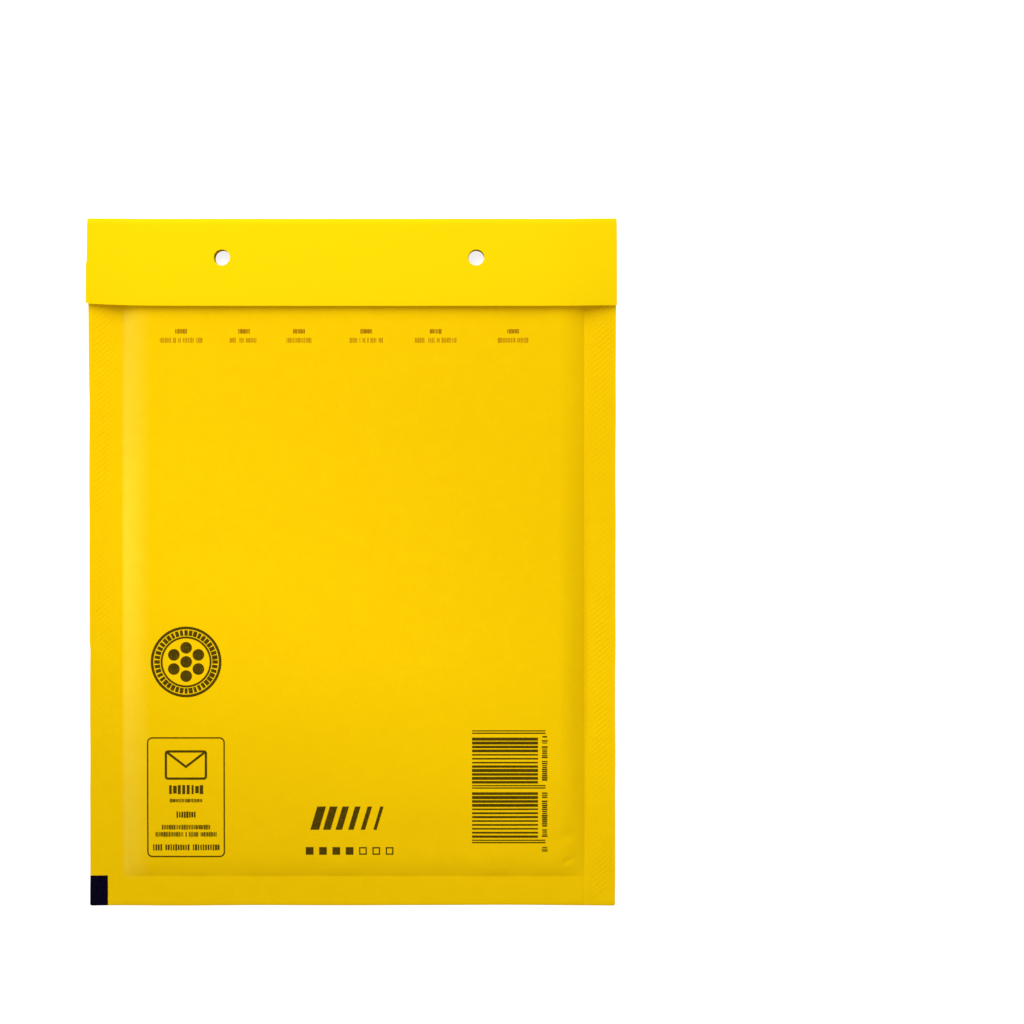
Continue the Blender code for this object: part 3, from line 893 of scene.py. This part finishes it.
def make_ink(name, dark, pale, showing):
    """Flexographic ink on kraft: a little uneven, with pinholes where the paper shows through."""
    material, nodes, shader, place = finish(name, Specular_IOR_Level=0.04)
    cloudy = nodes.range(nodes.noise(place, 650.0, 4.0, 0.6), 0.3, 0.7)
    colour = nodes.mix(cloudy, dark, pale)
    pinholes = nodes.range(nodes.noise(place, 2600.0, 2.0, 0.5), 0.62, 0.72)
    colour = nodes.mix(nodes.times(pinholes, showing), colour, (0.955, 0.605, 0.0007, 1))
    paint(nodes, shader, colour, nodes.range(cloudy, 0, 1, 0.55, 0.7))
    return material


def lay_ink(name, meshes, material):
    """Flat shapes laid on the front as thin ink and made one piece."""
    printed = joined(name, meshes, material)
    points = places(printed.data)
    x, y = points[:, 0], points[:, 1]
    points[:, 2] = front_level(x, y) + PAPER / 2 + INK_LIFT
    put_places(printed.data, points)
    wall = printed.modifiers.new("thickness", "SOLIDIFY")
    wall.thickness = INK_THICKNESS
    wall.offset = 0
    plain(printed, material)
    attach(printed, "root")


def stroke_row(x, y, width, height, count, seed, material, gaps=0.12):
    """A row of strokes centred on x and y."""
    pitch = width / count
    start = (x - width / 2 + pitch / 2, y, 0)
    sizes = {"Count": count, "Start": start, "Pitch": pitch, "Height": height, "Seed": seed}
    return grow(strokes, {**sizes, "Gaps": gaps, "Material": material})


strokes = stroke_tree()
brown_ink = make_ink("brown_ink", (0.30, 0.105, 0.001, 1), (0.36, 0.145, 0.001, 1), 0.5)
pale_brown_ink = make_ink("pale_brown_ink", (0.50, 0.225, 0.001, 1), (0.60, 0.300, 0.001, 1), 0.5)
heads = []
lines = []
for number, (x, width, count) in enumerate(NOTICES):
    head = stroke_row(x, HEAD_LEVEL, HEAD_WIDTH, HEAD_HEIGHT, HEAD_STROKES, 7 + number, brown_ink, 0.0)
    heads.append(head)
    lines.append(stroke_row(x, LINE_LEVEL, width, LINE_HEIGHT, count, 40 + number, pale_brown_ink))
lay_ink("notice_heads", heads, brown_ink)
lay_ink("notice_lines", lines, pale_brown_ink)

# Round stamp. A plain round quality stamp in dark ink: an edge ring with a ring of short blocks inside it,
# and seven discs in the middle that stand for the padding's air cells. Its sizes are shares of its radius.
STAMP = (-0.06429, -0.0391)
STAMP_RADIUS = 0.0138
EDGE_RING = (0.925, 1)
INNER_RING = (0.665, 0.72)
BLOCK_RING = 0.82
BLOCK_DEPTH = 0.155
DISC_RING = 0.40
DISC_RADIUS = 0.165
DISCS_ROUND_MIDDLE = 6


def ring(centre, inner, outer, sides=72):
    """A flat ring, or a disc where the inner radius is 0."""
    bm = bmesh.new()
    turns = [2 * math.pi * i / sides for i in range(sides)]
    circles = []
    for radius in (outer, inner) if inner > 0 else (outer,):
        corners = [(centre[0] + radius * math.cos(t), centre[1] + radius * math.sin(t), 0) for t in turns]
        circles.append([bm.verts.new(corner) for corner in corners])
    middle = None if inner > 0 else bm.verts.new((*centre, 0))
    for i in range(sides):
        following = (i + 1) % sides
        if middle:
            bm.faces.new((circles[0][i], circles[0][following], middle))
        else:
            bm.faces.new((circles[0][i], circles[0][following], circles[1][following], circles[1][i]))
    return made("ring", bm)


def block_ring_tree():
    """Blocks of uneven width round a circle, each turned to face its middle."""
    lengths = ["Radius", "Depth"]
    nodes, given = start_tree("block_ring", Int=["Count", "Seed"], Vector=["Centre"], Float=lengths)
    circle = nodes.out("GeometryNodeMeshCircle", {"Vertices": given["Count"], "Radius": given["Radius"]})
    index = nodes.out("GeometryNodeInputIndex")
    turn = nodes.maths("DIVIDE", nodes.times(index, 2 * math.pi), given["Count"])
    spacing = nodes.maths("DIVIDE", nodes.times(given["Radius"], 2 * math.pi), given["Count"])
    width = nodes.times(spacing, chance(nodes, 0.60, 0.90, given["Seed"]))
    size = vector(nodes, given["Depth"], width, 1.0)
    blocks = copies(nodes, circle, unit_square(nodes, 3, 2), Rotation=vector(nodes, z=turn), Scale=size)
    end_tree(nodes, shifted(nodes, blocks, Translation=given["Centre"]), given)
    return nodes


dark_ink = make_ink("dark_olive_ink", (0.060, 0.036, 0.0003, 1), (0.095, 0.059, 0.0004, 1), 0.22)
stamp_sizes = {
    "Count": 40,
    "Centre": (*STAMP, 0),
    "Radius": STAMP_RADIUS * BLOCK_RING,
    "Depth": STAMP_RADIUS * BLOCK_DEPTH,
    "Seed": 5,
    "Material": dark_ink,
}
stamp = [
    ring(STAMP, STAMP_RADIUS * EDGE_RING[0], STAMP_RADIUS * EDGE_RING[1]),
    grow(block_ring_tree(), stamp_sizes),
    ring(STAMP, STAMP_RADIUS * INNER_RING[0], STAMP_RADIUS * INNER_RING[1]),
]
for number in range(DISCS_ROUND_MIDDLE + 1):
    turn = math.radians(360 / DISCS_ROUND_MIDDLE * number + 30)
    reach = 0 if number == DISCS_ROUND_MIDDLE else STAMP_RADIUS * DISC_RING
    middle = (STAMP[0] + reach * math.cos(turn), STAMP[1] + reach * math.sin(turn))
    stamp.append(ring(middle, 0, STAMP_RADIUS * DISC_RADIUS, 28))
lay_ink("round_stamp", stamp, dark_ink)

# Information box. A thin-lined box with round corners that holds a plain drawing of an envelope and rows of
# short strokes, in the same dark ink.
BOX_LEFT, BOX_RIGHT = -0.07929, -0.04948
BOX_LOW, BOX_HIGH = -0.11509, -0.06872
BOX_MIDDLE = (BOX_LEFT + BOX_RIGHT) / 2
BOX_LINE = 0.00052
BOX_CORNER = 0.0018
ICON_HALF_WIDTH = 0.0078
ICON_LOW, ICON_HIGH = -0.0846, -0.0740
ICON_FOLD = ICON_LOW + 0.0046
ICON_LINE = 0.0009
ICON_CORNER = 0.0008
# Rows of strokes, from the top: level, width, height, strokes, seed, share of gaps
BOX_ROWS = [
    (-0.0889, 0.0138, 0.0036, 8, 60, 0.0),
    (-0.0932, 0.0128, 0.0015, 22, 61, 0.1),
    (-0.0987, 0.0078, 0.0026, 8, 62, 0.0),
    (-0.1036, 0.0190, 0.0020, 29, 63, 0.10),
    (-0.1064, 0.0240, 0.0020, 37, 64, 0.10),
    (-0.1115, 0.0262, 0.0026, 27, 65, 0.08),
]


def drawn_line(points, width, closed=False, step=0.0022):
    """A flat line of this width along a path, cut into short lengths so that it can follow the paper."""
    path = [np.array(point, dtype=float) for point in points]
    if closed:
        path.append(path[0])
    fine = []
    for start, end in zip(path[:-1], path[1:]):
        cuts = max(1, math.ceil(np.linalg.norm(end - start) / step))
        fine += [start + (end - start) * i / cuts for i in range(cuts)]
    if not closed:
        fine.append(path[-1])
    count = len(fine)
    bm = bmesh.new()
    sides = []
    for i, point in enumerate(fine):
        before = fine[i - 1] if closed or i else point - (fine[1] - point)
        after = fine[(i + 1) % count] if closed or i < count - 1 else point + (point - fine[i - 1])
        one = (point - before) / np.linalg.norm(point - before)
        two = (after - point) / np.linalg.norm(after - point)
        across = np.array([-(one + two)[1], (one + two)[0]])
        across /= np.linalg.norm(across)
        reach = width / 2 / max(0.3, np.dot(across, [-one[1], one[0]]))
        sides.append([bm.verts.new((*(point + side * reach * across), 0)) for side in (1, -1)])
    for i in range(count if closed else count - 1):
        left_start, right_start = sides[i]
        left_end, right_end = sides[(i + 1) % count]
        bm.faces.new((left_start, right_start, right_end, left_end))
    return made("drawn_line", bm)


def round_corners(left, right, low, high, radius, steps=6):
    """The outline of a box with round corners."""
    path = []
    for x, y, start in ((right, high, 0), (left, high, 90), (left, low, 180), (right, low, 270)):
        middle_x = x - radius if x == right else x + radius
        middle_y = y - radius if y == high else y + radius
        for i in range(steps + 1):
            turn = math.radians(start + 90 * i / steps)
            path.append((middle_x + radius * math.cos(turn), middle_y + radius * math.sin(turn)))
    return path


icon_left, icon_right = BOX_MIDDLE - ICON_HALF_WIDTH, BOX_MIDDLE + ICON_HALF_WIDTH
frame_of_box = round_corners(BOX_LEFT, BOX_RIGHT, BOX_LOW, BOX_HIGH, BOX_CORNER)
icon = round_corners(icon_left, icon_right, ICON_LOW, ICON_HIGH, ICON_CORNER)
icon_flap = [(icon_left, ICON_HIGH), (BOX_MIDDLE, ICON_FOLD), (icon_right, ICON_HIGH)]
box = [
    drawn_line(frame_of_box, BOX_LINE, closed=True),
    drawn_line(icon, ICON_LINE, closed=True),
    drawn_line(icon_flap, ICON_LINE),
]
for y, width, height, count, seed, gaps in BOX_ROWS:
    box.append(stroke_row(BOX_MIDDLE, y, width, height, count, seed, dark_ink, gaps))
lay_ink("information_box", box, dark_ink)

# Size scale. The printed size is a row of seven small squares, four of them filled, under six plain slanting
# bars that grow thinner to the right, in the same dark ink.
SCALE_MIDDLE = -0.0006
SCALE_LEVEL = -0.11290
SCALE_PITCH = 0.0052
SCALE_SIZE = 0.0030
SCALE_SQUARES = 7
SQUARES_FILLED = 4
SQUARE_LINE = 0.0005
SLANTED_BARS = 6
SLANTED_LEFT = -0.0142
SLANTED_PITCH = 0.0047
SLANTED_LOW, SLANTED_HIGH = -0.1046, -0.0955
SLANTED_WIDTH = 0.0034
SLANTED_THINNING = 0.00042
SLANT = 0.30


def slanted_bar(x, low, high, width, slant, steps=5):
    """A leaning bar from low to high."""
    bm = bmesh.new()
    pairs = []
    for i in range(steps + 1):
        y = low + (high - low) * i / steps
        lean = (y - low) * slant
        pairs.append([bm.verts.new((x + lean + side * width / 2, y, 0)) for side in (-1, 1)])
    for (left_low, right_low), (left_high, right_high) in zip(pairs[:-1], pairs[1:]):
        bm.faces.new((left_low, right_low, right_high, left_high))
    return made("slanted_bar", bm)


marks = []
half = SCALE_SIZE / 2
for number in range(SCALE_SQUARES):
    x = SCALE_MIDDLE + (number - SCALE_SQUARES // 2) * SCALE_PITCH
    if number < SQUARES_FILLED:
        marks.append(slanted_bar(x, SCALE_LEVEL - half, SCALE_LEVEL + half, SCALE_SIZE, 0, 2))
    else:
        inner = half - SQUARE_LINE / 2
        corners = [(x - inner, -inner), (x + inner, -inner), (x + inner, inner), (x - inner, inner)]
        marks.append(drawn_line([(a, SCALE_LEVEL + b) for a, b in corners], SQUARE_LINE, closed=True))
for number in range(SLANTED_BARS):
    x = SLANTED_LEFT + SLANTED_PITCH * number
    width = SLANTED_WIDTH - SLANTED_THINNING * number
    marks.append(slanted_bar(x, SLANTED_LOW, SLANTED_HIGH, width, SLANT))
lay_ink("size_scale", marks, dark_ink)

# Bar field. A field of bars near the lower right corner, printed sideways in the same dark ink, with pairs
# of longer bars at both ends and in the middle, and rows of short strokes beside it. A rule with a fixed
# seed draws the bars, and they stand for nothing.
FIELD_LEFT = 0.04717
FIELD_LOW = -0.10964
FIELD_HEIGHT = 0.04365
BAR_LENGTH = 0.02572
GUARD_LENGTH = 0.02864
GUARD_SPACING = 0.00092
GUARD_THICKNESS = (0.00042, 0.00048)
BARS_IN_HALF = 12
BAR_PITCH = 0.00153
BAR_THICKNESS = (0.00055, 0.00128)
HALF_START = 0.00235
HALF_SPACING = 0.02125
CAPTION_X = 0.0755
CAPTION_HEIGHT = 0.0023
# Rows of strokes beside the bars: middle, width, strokes, seed
CAPTIONS = [(-0.1122, 0.0021, 3, 70), (-0.0987, 0.0176, 22, 71), (-0.0767, 0.0176, 22, 72)]


def bar_tree():
    """A stack of lying bars of uneven thickness, all of one length, that start at one edge."""
    lengths = ["Pitch", "Length", "Thinnest", "Thickest"]
    nodes, given = start_tree("bar_field", Int=["Count", "Seed"], Vector=["Start"], Float=lengths)
    stack = point_row(nodes, given, vector(nodes, y=given["Pitch"]))
    bar = shifted(nodes, unit_square(nodes, 14, 2), Translation=(0.5, 0, 0))
    thickness = chance(nodes, given["Thinnest"], given["Thickest"], given["Seed"])
    bars = copies(nodes, stack, bar, Scale=vector(nodes, given["Length"], thickness, 1.0))
    end_tree(nodes, bars, given)
    return nodes


def bar_stack(count, low, pitch, length, thickness, seed):
    start = (FIELD_LEFT, FIELD_LOW + low, 0)
    sizes = {"Count": count, "Start": start, "Pitch": pitch, "Length": length, "Seed": seed}
    return grow(bars, {**sizes, "Thinnest": thickness[0], "Thickest": thickness[1], "Material": dark_ink})


bars = bar_tree()
field = []
guard_pitch = (FIELD_HEIGHT - GUARD_SPACING) / 2
for number in range(2):
    guard_low = number * GUARD_SPACING
    field.append(bar_stack(3, guard_low, guard_pitch, GUARD_LENGTH, GUARD_THICKNESS, number))
    half_low = HALF_START + number * HALF_SPACING
    field.append(bar_stack(BARS_IN_HALF, half_low, BAR_PITCH, BAR_LENGTH, BAR_THICKNESS, 31 + number))
for middle, width, count, seed in CAPTIONS:
    mesh = stroke_row(0, 0, width, CAPTION_HEIGHT, count, seed, dark_ink, 0.16)
    points = places(mesh)
    turned = np.stack([CAPTION_X - points[:, 1], middle + points[:, 0], points[:, 2]], axis=1)
    put_places(mesh, turned)
    field.append(mesh)
lay_ink("bar_field", field, dark_ink)

# Floor, lamps and camera. A large white floor that keeps the envelope's shadow, a broad soft lamp from above
# the flap, a narrow beam low from the left, an even sky, and a camera straight above.
FLOOR_REACH = 3.0
FLOOR_LEVEL = -0.0002
FLOOR_GLOW = 0.77
SKY_LIGHT = 0.56


def looked_at(nodes):
    """1 for what the camera sees, also in a reflection or through film, and 0 for all other light."""
    rays = nodes.add("ShaderNodeLightPath").outputs
    directly = nodes.maths("MAXIMUM", rays["Is Camera Ray"], rays["Is Glossy Ray"])
    return nodes.maths("MAXIMUM", directly, rays["Is Transmission Ray"])


floor_mesh = bpy.data.meshes.new("floor")
corners = [(x * FLOOR_REACH, y * FLOOR_REACH, FLOOR_LEVEL) for x, y in ((-1, -1), (1, -1), (1, 1), (-1, 1))]
floor_mesh.from_pydata(corners, [], [(0, 1, 2, 3)])
floor = link(bpy.data.objects.new("floor", floor_mesh))
floor_finish, nodes, shader, place = finish("white_floor", Specular_IOR_Level=0.0, Roughness=1.0)
white = nodes.mix(nodes.noise(place, 30.0), (0.80, 0.80, 0.80, 1), (0.82, 0.82, 0.82, 1))
nodes.put(white, shader.inputs["Base Color"])
shader.inputs["Emission Color"].default_value = (1, 1, 1, 1)
nodes.put(nodes.times(looked_at(nodes), FLOOR_GLOW), shader.inputs["Emission Strength"])
floor_mesh.materials.append(floor_finish)

world = bpy.data.worlds.new("studio")
world.use_nodes = True
bpy.context.scene.world = world
nodes = Nodes(world.node_tree)
sky = world.node_tree.nodes["Background"]
sky.inputs["Color"].default_value = (1, 1, 1, 1)
nodes.put(nodes.range(looked_at(nodes), 0.0, 1.0, SKY_LIGHT, 1.0), sky.inputs["Strength"])


def hang(lamp, target, turn, rise, distance):
    """Hangs a lamp this far from its target, turned from +X and raised above the floor in degrees."""
    turn, rise = math.radians(turn), math.radians(rise)
    towards = (math.cos(turn) * math.cos(rise), math.sin(turn) * math.cos(rise), math.sin(rise))
    hung = link(bpy.data.objects.new(lamp.name, lamp))
    hung.location = [start + distance * part for start, part in zip(target, towards)]
    hung.rotation_euler = (math.pi / 2 - rise, 0, turn + math.pi / 2)


soft_lamp = bpy.data.lights.new("soft_lamp", "AREA")
soft_lamp.shape = "DISK"
soft_lamp.size = 0.54
soft_lamp.energy = 1.97
hang(soft_lamp, (0.07, 0.118, 0), 116, 50, 0.50)

side_lamp = bpy.data.lights.new("side_lamp", "SPOT")
side_lamp.shadow_soft_size = 0.06
side_lamp.spot_size = math.radians(8.6)
side_lamp.spot_blend = 1.0
side_lamp.energy = 23.8
hang(side_lamp, (0.007, -0.031, 0), 162, 20, 1.0)

camera_data = bpy.data.cameras.new("camera")
camera_data.sensor_width = 36
camera_data.lens = 89.68
camera_data.clip_start = 0.01
camera_data.clip_end = 20
camera = link(bpy.data.objects.new("camera", camera_data))
camera.location = (0.06276, 0.01935, 1.0)
bpy.context.scene.camera = camera
bpy.context.scene.view_settings.view_transform = "Standard"
